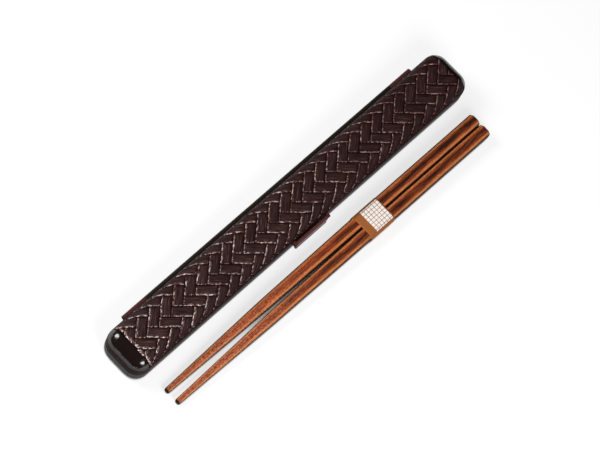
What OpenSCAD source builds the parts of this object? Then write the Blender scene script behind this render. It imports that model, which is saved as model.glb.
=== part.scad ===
// Portable chopstick case: a tray and a lid on a long pin hinge, a snap clasp in front,
// and beside it the pair of chopsticks in a paper band.
// Millimetres. +X runs along the case to its far end, +Y towards the hinge, +Z up.
// The origin is the middle of the tray's flat underside.

/* [Case] */
// Length of the case over its end walls
case_length = 210; // [195:1:240]
// Width of the case over its side walls
case_width = 23; // [21:0.5:32]
// Radius of the case's corners in plan
corner_radius = 6.5; // [6.2:0.1:8]
// Wall thickness of the tray and the lid
wall = 1.5; // [1.3:0.1:1.8]
// Gap at the parting line between tray and lid
parting_gap = 0.2; // [0.1:0.05:0.4]
// Corner cut along the outer edges of the two rims, which draws the seam
rim_chamfer = 0.4; // [0.2:0.05:0.45]

/* [Tray] */
// Height of the tray up to its rim
tray_height = 7.3; // [6.8:0.1:12]
// Radius of the tray's bottom edge
tray_edge_radius = 3; // [2:0.1:3.4]
// Radius inside the tray where its floor meets its walls
tray_inner_radius = 1.5; // [0.5:0.1:2.5]
// Floor thickness of the tray
tray_floor = 1.5; // [1:0.1:2]
// Height of the lip that stands up inside the lid
lip_height = 1; // [0.6:0.1:1.4]
// Thickness of that lip
lip_thickness = 0.7; // [0.5:0.05:0.8]
// Clearance between the lip and the lid
lip_clearance = 0.15; // [0.1:0.05:0.25]

/* [Lid] */
// Height of the lid above the parting line
lid_height = 8.3; // [7.5:0.1:14]
// Radius of the lid's shoulders and rounded ends
shoulder_radius = 6; // [4.5:0.1:6.2]
// Roof thickness of the lid
lid_roof = 1.5; // [1.2:0.1:2]

/* [Weave] */
// Spacing of the strips along the case
weave_pitch = 7.3; // [5:0.1:12]
// Spacing of the herringbone rows, measured over the lid
weave_row = 6.35; // [4:0.05:9]
// Height that the strips stand above their grooves
weave_relief = 0.4; // [0.2:0.05:0.6]
// Thickness of the skin under the strips
weave_skin = 0.15; // [0.1:0.05:0.3]
// Width of the groove between two strips
weave_groove = 0.45; // [0.3:0.05:0.8]
// How far round the shoulder the skin reaches, in degrees from the top
weave_wrap = 76; // [50:1:82]
// Bond line between the skin and the lid
weave_bond = 0.02; // [0.01:0.01:0.05]
// How far the strips stand proud of the lid's smooth ends
weave_proud = 0.15; // [0.05:0.05:0.3]
// Gap between the skin's edges and its seat in the lid
weave_seat_gap = 0.05; // [0.02:0.01:0.1]
// Shift of the pattern along the case
weave_shift = -4.2; // [-7:0.1:7]
// Length that the weave runs on over the lid's far end
weave_overrun = 2.6; // [0:0.1:3]

/* [Hinge] */
// Distance from each end of the case to the hinge strip
hinge_setback = 15; // [10:0.5:25]
// How far the hinge axis lies outside the back wall
hinge_offset = 0.6; // [0.3:0.05:0.7]
// Length of the lid's knuckle at each end of the strip
end_knuckle_length = 13.5; // [10:0.5:20]
// Radius of the knuckles
knuckle_radius = 1.5; // [1.3:0.05:2]
// Clearance round a knuckle in the other half
knuckle_clearance = 0.25; // [0.2:0.05:0.4]
// End gap between two knuckles
knuckle_gap = 0.3; // [0.2:0.05:0.5]
// Radius of the hinge pins
hinge_pin_radius = 0.6; // [0.5:0.05:0.8]
// Length of pin held in the tray's knuckle
hinge_pin_seat = 8; // [5:0.5:12]
// How far a pin's outer end lies inside its knuckle
hinge_pin_inset = 0.4; // [0.2:0.1:1]
// Running clearance of a pin in the piece that turns on it
pin_running_clearance = 0.06; // [0.02:0.01:0.09]
// Clearance of a pin where it is held
pin_held_clearance = 0.01; // [0.01:0.01:0.02]

/* [Clasp] */
// Length of the clasp along the case
clasp_length = 19; // [16:0.5:26]
// Radius of the clasp's barrel
clasp_barrel_radius = 1; // [0.9:0.05:1.1]
// Gap between the clasp's barrel and the lid's wall
clasp_wall_gap = 0.15; // [0.1:0.05:0.3]
// Height of the clasp's pivot above the lid's lower edge
clasp_pivot_rise = 2.3; // [2:0.1:2.4]
// Distance from the pivot down to the clasp's toe
clasp_drop = 5.2; // [4.8:0.1:5.5]
// Thickness of the clasp's plate
clasp_plate = 1.25; // [1.15:0.05:1.3]
// Radius of the clasp's finger toe
clasp_toe_radius = 0.7; // [0.6:0.05:0.8]
// Radius of the snap bead
bead_radius = 0.7; // [0.6:0.05:0.8]
// How far the bead reaches into the tray's groove
bead_bite = 0.25; // [0.15:0.05:0.35]
// Distance from the pivot down to the bead
bead_drop = 4.4; // [4:0.1:4.6]
// Clearance between the bead and its groove
bead_clearance = 0.15; // [0.1:0.05:0.25]
// Length of the bead
bead_length = 14; // [8:0.5:16]
// Width of the lug at each end of the clasp
lug_width = 1.35; // [1.2:0.05:2]
// Clearance between a lug and the clasp's end
lug_clearance = 0.15; // [0.1:0.05:0.25]
// Radius of the clasp pin
clasp_pin_radius = 0.45; // [0.4:0.05:0.5]
// How far the clasp pin's ends lie inside the lugs
clasp_pin_inset = 0.4; // [0.2:0.1:0.6]

/* [Chopsticks] */
// Length of a chopstick
stick_length = 195; // [170:1:230]
// Width of a stick's square section at its butt
stick_butt_width = 6.4; // [6:0.1:8]
// Width where the taper starts
stick_shaft_width = 6.3; // [5.8:0.1:7.8]
// Distance from the butt to where the taper starts
stick_shaft_length = 75; // [65:1:105]
// Width where the taper steepens
stick_neck_width = 5.3; // [4.6:0.1:5.8]
// Distance from the butt to where the taper steepens
stick_neck_length = 138; // [120:1:150]
// Width just before the rounded tip
stick_tip_width = 2.6; // [2:0.1:3.6]
// Corner cut of the section, as a share of its width
stick_corner_cut = 0.22; // [0.15:0.01:0.29]
// Rounding of the butt end
butt_round = 1.3; // [0.8:0.1:2]
// Rounding of the tip end
tip_round = 0.9; // [0.5:0.1:1.2]
// Gap between the two sticks at their butts
stick_gap = 0.15; // [0.1:0.05:0.6]

/* [Paper band] */
// Width of the band along the sticks
band_width = 15; // [10:0.5:25]
// Thickness of the paper
band_paper = 0.2; // [0.15:0.05:0.4]
// Slack between the band and the sticks
band_slack = 0.1; // [0.08:0.02:0.3]
// Radius of the band's folds
band_fold_radius = 1.1; // [0.8:0.1:1.3]
// Distance from the butts to the middle of the band
band_from_butt = 71; // [55:1:85]

/* [Layout] */
// How far the butts lie along the case from its middle
pair_butt_x = 98; // [60:1:130]
// How far the pair's butts lie in front of the case's middle
pair_front = 26.6; // [25:0.1:60]
// Angle of the pair to the case, in degrees
pair_angle = -0.3; // [-5:0.1:1]

/* [Hidden] */
$fn = 96;

// Extra length that carries a cut past a face, or a joined piece into its neighbour
over = 0.5;

// Centres of the plan corners
corner_x = case_length / 2 - corner_radius;
corner_y = case_width / 2 - corner_radius;

// Lid levels
lid_z = tray_height + parting_gap;
lid_top = lid_z + lid_height;
shoulder_z = lid_top - shoulder_radius;
crown_half = case_width / 2 - shoulder_radius;

// Hinge axis and knuckles
hinge_length = case_length - 2 * hinge_setback;
hinge_y = case_width / 2 + hinge_offset;
hinge_z = tray_height + parting_gap / 2;
tray_knuckle_length = hinge_length - 2 * end_knuckle_length;
lid_knuckle_start = tray_knuckle_length / 2 + knuckle_gap;
hinge_pin_start = tray_knuckle_length / 2 - hinge_pin_seat;
hinge_pin_end = hinge_length / 2 - hinge_pin_inset;

// Clasp axis, bead and plate
clasp_y = -case_width / 2 - clasp_wall_gap - clasp_barrel_radius;
clasp_z = lid_z + clasp_pivot_rise;
clasp_face_y = clasp_y - clasp_barrel_radius;
lug_start = clasp_length / 2 + lug_clearance;
lug_end = lug_start + lug_width;
bead_y = -case_width / 2 + bead_bite - bead_radius;
bead_z = clasp_z - bead_drop;

// Weave skin
weave_seat = weave_proud - weave_relief - weave_skin - weave_bond;
weave_under = weave_seat + weave_bond;
weave_floor = weave_under + weave_skin;
weave_edge_z = shoulder_z + shoulder_radius * cos(weave_wrap);
weave_start = -corner_x;
weave_end = corner_x + weave_overrun;

// Sticks: stations along one stick as [distance from the butt, width, width that stands on the table]
stick_stations = [
  [0, stick_butt_width - 2 * butt_round, stick_butt_width],
  [butt_round, stick_butt_width, stick_butt_width],
  [stick_shaft_length, stick_shaft_width, stick_shaft_width],
  [stick_neck_length, stick_neck_width, stick_neck_width],
  [stick_length - tip_round, stick_tip_width, stick_tip_width],
  [stick_length, stick_tip_width - 2 * tip_round, stick_tip_width]
];
stick_floor = band_paper + band_slack;
stick_side = stick_butt_width / 2 + stick_gap / 2;

// Width of a stick at a distance from its butt
function stick_width_at(d) = lookup(d, [for (s = stick_stations) [s[0], s[1]]]);

// Band: inside measures, taken where the band is nearest to the butts
band_butt_edge = band_from_butt - band_width / 2;
band_stick_width = stick_width_at(band_butt_edge);
band_inner_width = 2 * stick_side + band_stick_width + 2 * band_slack;
band_inner_height = band_stick_width + 2 * band_slack;

// Cylinder along X, from one station to another
module bar(from_x, to_x, y, z, radius) {
  translate([from_x, y, z])
    rotate([0, 90, 0])
      cylinder(r = radius, h = to_x - from_x);
}

// Carries a half section, drawn from a corner's axis outwards, round the case's plan
module around_case() {
  for (turn = [0, 180])
    rotate(turn)
      translate([corner_x, corner_y, 0])
        rotate([90, 0, 0])
          linear_extrude(2 * corner_y) children();
  for (turn = [90, 270])
    rotate(turn)
      translate([corner_y, corner_x, 0])
        rotate([90, 0, 0])
          linear_extrude(2 * corner_x) children();
  for (turn = [0, 180])
    rotate(turn) {
      translate([corner_x, corner_y, 0])
        rotate_extrude(angle = 90) children();
      translate([-corner_x, corner_y, 0])
        rotate(90)
          rotate_extrude(angle = 90) children();
    }
}

// Plate that closes a swept section over the middle of the case
module middle_plate(z, thickness) {
  translate([-corner_x, -corner_y, z])
    cube([2 * corner_x, 2 * corner_y, thickness]);
}

// Quarter of a disc, in the first quadrant
module quarter(radius) {
  intersection() {
    circle(radius);
    square(radius);
  }
}

// Rectangle from a corner's axis outwards, with its upper outer corner rounded
module round_head(reach, height, radius) {
  square([reach - radius, height]);
  square([reach, height - radius]);
  translate([reach - radius, height - radius])
    quarter(radius);
}

// The same with its lower outer corner rounded
module round_foot(reach, height, radius) {
  translate([0, height])
    mirror([0, 1])
      round_head(reach, height, radius);
}

// Diamond that cuts a rim's outer edge at a level
module rim_cut(level) {
  translate([corner_radius, level])
    rotate(45)
      square(rim_chamfer * sqrt(2), center = true);
}

// Half section of the tray, with its lip
module tray_section() {
  difference() {
    round_foot(corner_radius, tray_height, tray_edge_radius);
    translate([0, tray_floor])
      round_foot(corner_radius - wall, tray_height, tray_inner_radius);
    rim_cut(tray_height);
  }
  translate([corner_radius - wall, tray_height - over])
    square([lip_thickness, lip_height + over]);
}

// Half section of the lid, with the step that takes the tray's lip
module lid_section() {
  difference() {
    round_head(corner_radius, lid_height, shoulder_radius);
    round_head(corner_radius - wall, lid_height - lid_roof, shoulder_radius - wall);
    translate([0, -over])
      square([corner_radius - wall + lip_thickness + lip_clearance,
              lip_height + lip_clearance - parting_gap + over]);
    rim_cut(0);
  }
}

// Lower half of the case
module base_tray() {
  color("#1b1816")
    difference() {
      union() {
        difference() {
          union() {
            around_case() tray_section();
            middle_plate(0, tray_floor);
          }
          for (end = [0, 1])
            mirror([end, 0, 0])
              bar(tray_knuckle_length / 2, hinge_length / 2 + knuckle_gap, hinge_y, hinge_z,
                  knuckle_radius + knuckle_clearance);
        }
        bar(-tray_knuckle_length / 2, tray_knuckle_length / 2, hinge_y, hinge_z, knuckle_radius);
      }
      for (end = [0, 1])
        mirror([end, 0, 0])
          bar(hinge_pin_start, tray_knuckle_length / 2 + over, hinge_y, hinge_z,
              hinge_pin_radius + pin_held_clearance);
      bar(-bead_length / 2 - bead_clearance, bead_length / 2 + bead_clearance, bead_y, bead_z,
          bead_radius + bead_clearance);
    }
}

// Lug on the lid's front that holds one end of the clasp pin
module clasp_lug() {
  bar(lug_start, lug_end, clasp_y, clasp_z, clasp_barrel_radius);
  translate([lug_start, clasp_y, clasp_z - clasp_barrel_radius])
    cube([lug_width, clasp_wall_gap + clasp_barrel_radius + wall / 2, 2 * clasp_barrel_radius]);
}

// Upper half of the case
module lid_shell() {
  color("#3d2624")
    difference() {
      union() {
        difference() {
          translate([0, 0, lid_z]) {
            around_case() lid_section();
            middle_plate(lid_height - lid_roof, lid_roof);
          }
          weave_layer(weave_seat, over, 0);
          bar(-lid_knuckle_start, lid_knuckle_start, hinge_y, hinge_z,
              knuckle_radius + knuckle_clearance);
        }
        for (end = [0, 1])
          mirror([end, 0, 0])
            bar(lid_knuckle_start, hinge_length / 2, hinge_y, hinge_z, knuckle_radius);
        for (end = [0, 1])
          mirror([end, 0, 0])
            clasp_lug();
      }
      for (end = [0, 1])
        mirror([end, 0, 0])
          bar(lid_knuckle_start - over, hinge_length / 2 + over, hinge_y, hinge_z,
              hinge_pin_radius + pin_running_clearance);
      bar(-lug_end - over, lug_end + over, clasp_y, clasp_z, clasp_pin_radius + pin_held_clearance);
    }
}

// The lid's outer form, grown outwards by a thickness
module lid_form(grow) {
  translate([0, 0, lid_z]) {
    around_case() round_head(corner_radius + grow, lid_height + grow, shoulder_radius + grow);
    middle_plate(0, lid_height + grow);
  }
}

// Layer of that form between two thicknesses, where the weave lies, less a gap at its edges
module weave_layer(inner, outer, gap = weave_seat_gap) {
  intersection() {
    difference() {
      lid_form(outer);
      lid_form(inner);
    }
    translate([weave_start + gap, -case_width, weave_edge_z + gap])
      cube([weave_end - weave_start - 2 * gap, 2 * case_width, lid_top]);
  }
}

// Place across the case of a point that lies a distance over the arch from the middle
function over_arch(a) =
  abs(a) <= crown_half ? a
  : sign(a) * (crown_half + shoulder_radius * sin((abs(a) - crown_half) / shoulder_radius * 180 / PI));

// Plan point of the weave, from its two strip counts: u along the strips that rise, v along those that fall
function weave_point(u, v) =
  [(u + v) / 2 * weave_pitch + weave_shift, over_arch((v - u) / 2 * weave_row + weave_row / 4)];

// Plan outline of the strip that shows between two crossings, as counts from u0, v0 to u1, v1
function strip_outline(u0, v0, u1, v1, steps = 2) = [
  for (s = [0 : steps - 1]) weave_point(u0 + (u1 - u0) * s / steps, v0),
  for (s = [0 : steps - 1]) weave_point(u1, v0 + (v1 - v0) * s / steps),
  for (s = [0 : steps - 1]) weave_point(u1 - (u1 - u0) * s / steps, v1),
  for (s = [0 : steps - 1]) weave_point(u0, v1 - (v1 - v0) * s / steps)
];

// Two-over-two twill: every strip shows over two crossings, and the rows slant in turn
module weave_plan() {
  gap = weave_groove / weave_pitch / 2;
  most = ceil(weave_end / weave_pitch) + 4;
  for (row = [-2 : 1], count = [-most : most]) {
    rises = row % 2 == 0;
    first = rises ? count + 2 * row - 0.5 : count - 2 * row - 1.5;
    outline = rises
      ? strip_outline(count - 0.5 + gap, first + gap, count + 0.5 - gap, first + 2 - gap)
      : strip_outline(first + gap, count - 0.5 + gap, first + 2 - gap, count + 0.5 - gap);
    if (min([for (p = outline) abs(p[0])]) < weave_end)
      polygon(outline);
  }
}

// Herringbone skin, let into the lid's arched top
module weave_panel() {
  color("#35211f") {
    weave_layer(weave_under, weave_floor);
    intersection() {
      weave_layer(weave_floor - weave_skin / 2, weave_proud);
      translate([0, 0, weave_edge_z - over])
        linear_extrude(lid_top - weave_edge_z + weave_proud + 2 * over)
          weave_plan();
    }
  }
}

// Steel pins of the hinge, one at each end of the strip
module hinge_pin_far() {
  color("silver")
    bar(hinge_pin_start, hinge_pin_end, hinge_y, hinge_z, hinge_pin_radius);
}

module hinge_pin_near() {
  mirror([1, 0, 0])
    hinge_pin_far();
}

// Clasp: a barrel on its pin, a plate with a finger toe, and a bead that snaps into the tray
module front_clasp() {
  half = clasp_length / 2;
  toe_z = clasp_z - clasp_drop + clasp_toe_radius;
  color("#43201f")
    difference() {
      union() {
        bar(-half, half, clasp_y, clasp_z, clasp_barrel_radius);
        translate([-half, clasp_face_y, toe_z])
          cube([clasp_length, clasp_plate, clasp_z - toe_z]);
        bar(-half, half, clasp_face_y + clasp_plate - clasp_toe_radius, toe_z, clasp_toe_radius);
        bar(-bead_length / 2, bead_length / 2, bead_y, bead_z, bead_radius);
      }
      bar(-half - over, half + over, clasp_y, clasp_z, clasp_pin_radius + pin_running_clearance);
    }
}

// Steel pin of the clasp, held in both lugs
module clasp_pin() {
  reach = lug_end - clasp_pin_inset;
  color("silver")
    bar(-reach, reach, clasp_y, clasp_z, clasp_pin_radius);
}

// Section of a stick at a station: a square with cut corners
function stick_ring(station) =
  let (half = station[1] / 2,
       flat = half * (1 - 2 * stick_corner_cut),
       height = stick_floor + station[2] / 2)
  [for (p = [[flat, -half], [half, -flat], [half, flat], [flat, half],
             [-flat, half], [-half, flat], [-half, -flat], [-flat, -half]])
    [-station[0], p[0], height + p[1]]];

// One tapered stick along -X from its butt at the origin
module stick() {
  sides = 8;
  rings = [for (s = stick_stations) stick_ring(s)];
  last = len(rings) - 1;
  color("#a4603d")
    polyhedron(
      points = [for (ring = rings) each ring],
      faces = concat(
        [[for (k = [sides - 1 : -1 : 0]) k]],
        [for (r = [0 : last - 1], k = [0 : sides - 1])
          let (n = (k + 1) % sides)
          [r * sides + k, r * sides + n, (r + 1) * sides + n, (r + 1) * sides + k]],
        [[for (k = [0 : sides - 1]) last * sides + k]]
      ));
}

// Puts the pair's pieces, drawn with the butts at the origin, where the pair lies
module beside_case() {
  translate([pair_butt_x, -pair_front, 0])
    rotate(pair_angle)
      children();
}

module chopstick_a() {
  beside_case()
    translate([0, stick_side, 0])
      stick();
}

module chopstick_b() {
  beside_case()
    translate([0, -stick_side, 0])
      stick();
}

// Rectangle with round corners, standing on the X axis
module round_rectangle(width, height, radius) {
  translate([-width / 2 + radius, 0])
    square([width - 2 * radius, height]);
  translate([-width / 2, radius])
    square([width, height - 2 * radius]);
  for (x = [-width / 2 + radius, width / 2 - radius], y = [radius, height - radius])
    translate([x, y])
      circle(radius);
}

// Paper band folded round the two sticks
module paper_band() {
  color("#b57445")
    beside_case()
      translate([-band_from_butt - band_width / 2, 0, 0])
        rotate([90, 0, 90])
          linear_extrude(band_width)
            difference() {
              round_rectangle(band_inner_width + 2 * band_paper, band_inner_height + 2 * band_paper,
                              band_fold_radius + band_paper);
              translate([0, band_paper])
                round_rectangle(band_inner_width, band_inner_height, band_fold_radius);
            }
}

base_tray();
lid_shell();
weave_panel();
hinge_pin_near();
hinge_pin_far();
front_clasp();
clasp_pin();
chopstick_a();
chopstick_b();
paper_band();
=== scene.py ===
import math

import bpy
import numpy as np
from mathutils import Matrix, Vector


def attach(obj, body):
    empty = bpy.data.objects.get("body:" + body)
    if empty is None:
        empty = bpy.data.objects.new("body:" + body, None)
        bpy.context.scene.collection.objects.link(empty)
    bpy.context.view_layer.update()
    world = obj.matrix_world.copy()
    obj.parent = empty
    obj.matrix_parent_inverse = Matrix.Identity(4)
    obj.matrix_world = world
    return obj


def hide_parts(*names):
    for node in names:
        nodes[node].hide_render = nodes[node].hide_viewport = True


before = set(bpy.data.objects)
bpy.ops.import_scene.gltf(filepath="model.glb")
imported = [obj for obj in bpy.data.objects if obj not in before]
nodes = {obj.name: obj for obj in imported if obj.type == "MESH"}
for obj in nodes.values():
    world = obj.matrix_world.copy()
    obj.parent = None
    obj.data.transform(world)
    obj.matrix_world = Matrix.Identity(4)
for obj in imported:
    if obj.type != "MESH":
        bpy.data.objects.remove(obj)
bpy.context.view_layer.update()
mm = 0.001  # the frame is in metres, sizes below are in millimetres
print("frame loaded:", ", ".join(sorted(nodes)))

# Camera, found from the case's outline in the photograph
cameraView = {
    "target": (-1.47, -7.42, 8.0),  # point at the middle of the image, mm
    "distance": 1263.0,
    "elevation": 65.0,  # degrees above the table
    "azimuth": 17.17,  # degrees from -X towards -Y
    "roll": 29.92,
    "focal": 2907.0,  # in pixels of an image 600 wide
    "imageWidth": 600.0,
}


def makeCamera(view):
    # axes from the viewing angles: back points from the object to the eye, roll turns right and up about it
    e, a, r = (math.radians(view[k]) for k in ("elevation", "azimuth", "roll"))
    back = Vector((-math.cos(e) * math.cos(a), -math.cos(e) * math.sin(a), math.sin(e)))
    right0 = (-back).cross(Vector((0, 0, 1))).normalized()
    up0 = right0.cross(-back)
    right = math.cos(r) * right0 + math.sin(r) * up0
    up = -math.sin(r) * right0 + math.cos(r) * up0
    eye = (Vector(view["target"]) + view["distance"] * back) * mm
    data = bpy.data.cameras.new("camera")
    data.sensor_width = 36.0
    data.lens = view["focal"] * data.sensor_width / view["imageWidth"]
    data.clip_start, data.clip_end = 0.05, 20.0
    camera = bpy.data.objects.new("camera", data)
    camera.matrix_world = Matrix((right, up, back)).transposed().to_4x4()
    camera.matrix_world.translation = eye
    bpy.context.scene.collection.objects.link(camera)
    bpy.context.scene.camera = camera


makeCamera(cameraView)
print("camera set")


# Small tools for meshes and materials
def linear(hexColour):
    # sRGB hex to linear: c/12.92 below 0.04045, else ((c + 0.055)/1.055)^2.4
    c = np.array([int(hexColour[k:k + 2], 16) for k in (1, 3, 5)]) / 255.0
    c = np.where(c <= 0.04045, c / 12.92, ((c + 0.055) / 1.055) ** 2.4)
    return (*c.tolist(), 1.0)


def add(tree, kind, inputs=None, **settings):
    made = tree.nodes.new(kind)
    for key, value in settings.items():
        setattr(made, key, value)
    for key, value in (inputs or {}).items():
        if isinstance(value, bpy.types.NodeSocket):
            tree.links.new(value, made.inputs[key])
        else:
            made.inputs[key].default_value = value
    return made


def newMaterial(name):
    material = bpy.data.materials.new(name)
    material.use_nodes = True
    tree = material.node_tree
    return material, tree, tree.nodes["Principled BSDF"]


def gridFaces(rows, columns):
    # quads of a grid whose points run row by row; corners (r, c), (r, c+1), (r+1, c+1), (r+1, c)
    r, c = np.meshgrid(np.arange(rows - 1), np.arange(columns - 1), indexing="ij")
    a = (r * columns + c).ravel()
    return np.stack([a, a + 1, a + columns + 1, a + columns], axis=1)


def gridRing(rows, columns):
    # the border points of such a grid, once round
    ids = np.arange(rows * columns).reshape(rows, columns)
    return np.concatenate([ids[0, :-1], ids[:-1, -1], ids[-1, :0:-1], ids[:0:-1, 0]])


def tubeFaces(rings, count):
    # quads between rings of count points, and those that close each end by folding its ring across
    i, j = np.meshgrid(np.arange(rings - 1), np.arange(count), indexing="ij")
    n = (j + 1) % count
    sides = np.stack([i * count + j, (i + 1) * count + j, (i + 1) * count + n, i * count + n], axis=-1)
    k = np.arange(count // 2 - 1)
    cap = np.stack([k, k + 1, count - 2 - k, count - 1 - k], axis=1)
    return sides.reshape(-1, 4), np.concatenate([cap, cap[:, ::-1] + (rings - 1) * count])


def cornerBlend(enter, corners, leave, count):
    # curve round each corner: (1-t)^2 enter + 2t(1-t) corner + t^2 leave
    t = np.linspace(0, 1, count)[None, :, None]
    return (1 - t) ** 2 * enter[:, None] + 2 * t * (1 - t) * corners[:, None] + t ** 2 * leave[:, None]


def quarterRound(d, size):
    # share of the full height at distance d from the foot of a quarter ellipse: sqrt(1 - (1 - d/size)^2)
    return np.sqrt(np.clip(1 - (1 - np.clip(d / size, 0, 1)) ** 2, 0, 1))


def makeMesh(name, points, *faceSets, uv=None, attributes=None):
    # points in mm, each face set an array of faces with the same number of corners, per-point uv and attributes
    mesh = bpy.data.meshes.new(name)
    corners = np.concatenate([f.ravel() for f in faceSets]).astype(np.int32)
    sizes = np.concatenate([np.full(len(f), f.shape[1]) for f in faceSets])
    mesh.vertices.add(len(points))
    mesh.vertices.foreach_set("co", (np.asarray(points, float) * mm).astype(np.float32).ravel())
    mesh.loops.add(len(corners))
    mesh.loops.foreach_set("vertex_index", corners)
    mesh.polygons.add(len(sizes))
    mesh.polygons.foreach_set("loop_start", (np.cumsum(sizes) - sizes).astype(np.int32))
    mesh.polygons.foreach_set("use_smooth", np.ones(len(sizes), bool))
    mesh.update(calc_edges=True)
    if uv is not None:
        mesh.uv_layers.new(name="surface").data.foreach_set("uv", np.asarray(uv, np.float32)[corners].ravel())
    for key, values in (attributes or {}).items():
        mesh.attributes.new(key, "FLOAT", "POINT").data.foreach_set("value", np.asarray(values, np.float32).ravel())
    made = bpy.data.objects.new(name, mesh)
    bpy.context.scene.collection.objects.link(made)
    return made


def finishPiece(piece, body, slotName, material, *replaced):
    piece.data.materials.clear()
    piece.data.materials.append(material)
    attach(piece, body)
    if replaced:
        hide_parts(*replaced)


def ease(x, low, high):
    # smooth step from 0 at low to 1 at high: 3t^2 - 2t^3
    t = np.clip((x - low) / (high - low), 0.0, 1.0)
    return t * t * (3 - 2 * t)


# ABS, injection moulded: a soft gloss on the tray and the clasp, polished and a little wavy on the lid's smooth end,
# satin on the lid's rim, and matt on the ground under the weave
moulding = {
    "cloud": 18.0,  # size of the slow drift of the colour, mm
    "flow": 3.0,  # size of the surface's waves, mm
    "glossSpread": (0.8, 1.3),  # the roughness varies between these shares of its value
    "rimBlend": 1.0,  # the lid's finish changes over that height to both sides, mm
    "ior": 1.52,
}
plastics = {  # peel is the height of the surface's waves, mm
    "tray": {"name": "absMouldedGlossBlack", "colour": "#26201a", "deeper": "#1c1813", "roughness": 0.45,
             "specular": 0.12, "peel": 0.003},
    "lid": {"name": "absMouldedGlossBrown", "colour": "#160403", "deeper": "#0d0302", "roughness": 0.13,
            "specular": 0.75, "peel": 0.3,
            "rim": "#241311", "rimTop": 12.0, "rimRoughness": 0.55, "rimSpecular": 0.03,  # satin below rimTop, mm
            "fittings": "#54322f", "fittingsFrom": 11.56},  # lugs and knuckles stand out that far, mm
    "groove": {"name": "absMouldedMattBrown", "colour": "#160909", "deeper": "#0d0505", "roughness": 0.6,
               "specular": 0.05, "peel": 0.003},
    "clasp": {"name": "absMouldedSatinRedBrown", "colour": "#5f3634", "deeper": "#50302e", "roughness": 0.38,
              "specular": 0.25, "peel": 0.003},
}


def mouldedPlastic(p, m):
    material, tree, shader = newMaterial(p["name"])
    place = add(tree, "ShaderNodeTexCoord").outputs["Object"]
    cloud = add(tree, "ShaderNodeTexNoise", {"Vector": place, "Scale": 1 / (m["cloud"] * mm), "Detail": 2.0})
    shade = add(tree, "ShaderNodeMix", {"Factor": cloud.outputs["Fac"], "A": linear(p["deeper"]),
                                        "B": linear(p["colour"])}, data_type="RGBA").outputs["Result"]
    flow = add(tree, "ShaderNodeTexNoise", {"Vector": place, "Scale": 1 / (m["flow"] * mm), "Detail": 3.0})
    least, most = (p["roughness"] * share for share in m["glossSpread"])
    gloss = add(tree, "ShaderNodeMapRange", {"Value": flow.outputs["Fac"], "To Min": least, "To Max": most})
    shader.inputs["Specular IOR Level"].default_value = p["specular"]
    if "rim" in p:
        axes = add(tree, "ShaderNodeSeparateXYZ", {"Vector": place}).outputs
        rim = add(tree, "ShaderNodeMapRange", {"Value": axes["Z"], "From Min": (p["rimTop"] + m["rimBlend"]) * mm,
                                               "From Max": (p["rimTop"] - m["rimBlend"]) * mm}).outputs["Result"]
        away = add(tree, "ShaderNodeMath", {0: axes["Y"]}, operation="ABSOLUTE").outputs["Value"]
        outside = add(tree, "ShaderNodeMath", {0: away, 1: p["fittingsFrom"] * mm}, operation="GREATER_THAN")
        for mask, colour in ((rim, p["rim"]), (outside.outputs["Value"], p["fittings"])):
            shade = add(tree, "ShaderNodeMix", {"Factor": mask, "A": shade, "B": linear(colour)},
                        data_type="RGBA").outputs["Result"]
        gloss = add(tree, "ShaderNodeMix", {"Factor": rim, "A": gloss.outputs["Result"], "B": p["rimRoughness"]})
        shine = add(tree, "ShaderNodeMapRange", {"Value": rim, "To Min": p["specular"], "To Max": p["rimSpecular"]})
        tree.links.new(shine.outputs["Result"], shader.inputs["Specular IOR Level"])
    peel = add(tree, "ShaderNodeBump", {"Height": flow.outputs["Fac"], "Distance": p["peel"] * mm})
    tree.links.new(shade, shader.inputs["Base Color"])
    tree.links.new(gloss.outputs["Result"], shader.inputs["Roughness"])
    tree.links.new(peel.outputs["Normal"], shader.inputs["Normal"])
    shader.inputs["IOR"].default_value = m["ior"]
    return material


trayPlastic, lidPlastic, groovePlastic, claspPlastic = (mouldedPlastic(p, moulding) for p in plastics.values())


# Steel of the pins: drawn wire, bright with fine lengthwise scratches
wire = {
    "name": "steelDrawnWire",
    "colour": "#b9bbbd",
    "scratchLength": 25.0, "scratchWidth": 0.4,  # mm
    "roughness": (0.2, 0.45),
}


def drawnSteel(s):
    material, tree, shader = newMaterial(s["name"])
    place = add(tree, "ShaderNodeTexCoord").outputs["Object"]
    fine = 1 / (s["scratchWidth"] * mm)
    along = add(tree, "ShaderNodeMapping", {"Vector": place, "Scale": (1 / (s["scratchLength"] * mm), fine, fine)})
    scratch = add(tree, "ShaderNodeTexNoise", {"Vector": along.outputs["Vector"], "Scale": 1.0, "Detail": 3.0})
    least, most = s["roughness"]
    gloss = add(tree, "ShaderNodeMapRange", {"Value": scratch.outputs["Fac"], "To Min": least, "To Max": most})
    tree.links.new(gloss.outputs["Result"], shader.inputs["Roughness"])
    shader.inputs["Base Color"].default_value = linear(s["colour"])
    shader.inputs["Metallic"].default_value = 1.0
    return material


pinSteel = drawnSteel(wire)

for name, material in {"base_tray": trayPlastic, "lid_shell": lidPlastic, "front_clasp": claspPlastic,
                       "hinge_pin_near": pinSteel, "hinge_pin_far": pinSteel, "clasp_pin": pinSteel}.items():
    nodes[name].data.materials.clear()
    nodes[name].data.materials.append(material)
print("carried-over solids dressed")

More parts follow.
